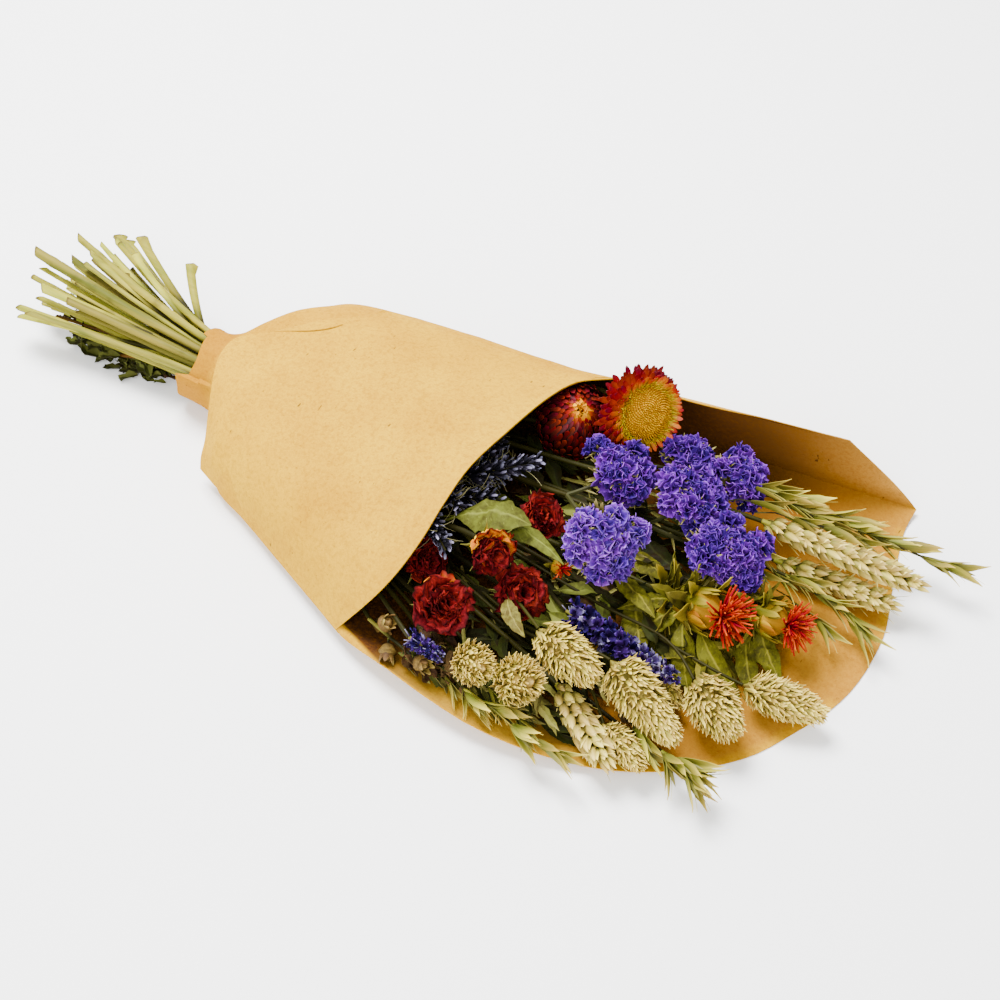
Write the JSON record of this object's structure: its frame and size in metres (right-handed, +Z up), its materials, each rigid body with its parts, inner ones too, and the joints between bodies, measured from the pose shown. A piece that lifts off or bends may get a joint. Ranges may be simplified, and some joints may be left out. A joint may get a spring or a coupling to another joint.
{
  "type": "dried flower bouquet",
  "caption": "Dried mixed flower bouquet lying in a kraft paper wrap that narrows to a neck, with the cut stem ends fanned out behind it.",
  "frame": {"origin": "on the flat underside of the paper wrap, under the middle of its open mouth", "axes": "+X along the bouquet from the cut stem ends towards the flowers, +Z up away from the surface it lies on, +Y to the far side"},
  "size_m": [0.5024, 0.2332, 0.0742],
  "materials": {
    "canary_husk": "satin papery husks, cream with green",
    "larkspur_blue": "dried florets, indigo to violet-blue",
    "dry_stem": "dry straw-green stem",
    "lavender_grey": "downy calyces, slate violet",
    "oat_husk": "thin papery husks, pale grey-green",
    "kraft_paper": "matt brown kraft paper with fine dark fibres and soft creases",
    "rose_red": "wrinkled dried petals, brick red",
    "leaf_green": "dry olive leaf",
    "sage_green": "dry grey-green bract and stem",
    "safflower_orange": "thin curled florets, red-orange",
    "capsule_brown": "dry seed capsules, brown",
    "statice_violet": "crinkled papery calyces, violet",
    "band": "matt brown rubber band round the stems",
    "strawflower_maroon": "glossy papery bracts, dark maroon",
    "strawflower_flame": "glossy papery bracts, from magenta red to orange",
    "disc_gold": "stippled golden disc florets",
    "wheat_ear": "satin husks, pale cream-green"
  },
  "bodies": {
    "root": {"canary_grass_1": "canary_husk", "canary_grass_2": "canary_husk", "canary_grass_3": "canary_husk", "canary_grass_4": "canary_husk", "canary_grass_5": "canary_husk", "canary_grass_6": "canary_husk", "canary_grass_7": "canary_husk", "canary_grass_8": "canary_husk", "larkspur_long": "larkspur_blue", "larkspur_long_stem": "dry_stem", "larkspur_short": "larkspur_blue", "larkspur_short_stem": "dry_stem", "lavender_far": "lavender_grey", "lavender_far_stem": "dry_stem", "lavender_low": "lavender_grey", "lavender_low_stem": "dry_stem", "lavender_middle": "lavender_grey", "lavender_middle_stem": "dry_stem", "lavender_near": "lavender_grey", "lavender_near_stem": "dry_stem", "oat_far": "oat_husk", "oat_front": "oat_husk", "oat_middle": "oat_husk", "oat_near": "oat_husk", "paper_wrap": "kraft_paper", "rose_1": "rose_red", "rose_1_stem": "leaf_green", "rose_2": "rose_red", "rose_2_stem": "leaf_green", "rose_3": "rose_red", "rose_3_stem": "leaf_green", "rose_4": "rose_red", "rose_4_stem": "leaf_green", "rose_5": "rose_red", "rose_5_stem": "leaf_green", "safflower_left": "sage_green", "safflower_left_tuft": "safflower_orange", "safflower_right": "sage_green", "safflower_right_tuft": "safflower_orange", "safflower_small": "sage_green", "safflower_small_tuft": "safflower_orange", "seed_capsules": "capsule_brown", "statice_comb_1": "statice_violet", "statice_comb_2": "statice_violet", "statice_comb_3": "statice_violet", "statice_comb_4": "statice_violet", "statice_comb_5": "statice_violet", "statice_comb_6": "statice_violet", "statice_far_stem": "sage_green", "statice_left_stem": "sage_green", "statice_middle_stem": "sage_green", "stem_band": "band", "strawflower_dark": "strawflower_maroon", "strawflower_dark_stem": "dry_stem", "strawflower_gold": "strawflower_flame", "strawflower_gold_disc": "disc_gold", "strawflower_gold_stem": "dry_stem", "wheat_1": "wheat_ear", "wheat_2": "wheat_ear", "wheat_3": "wheat_ear"}
  },
  "joints": []
}
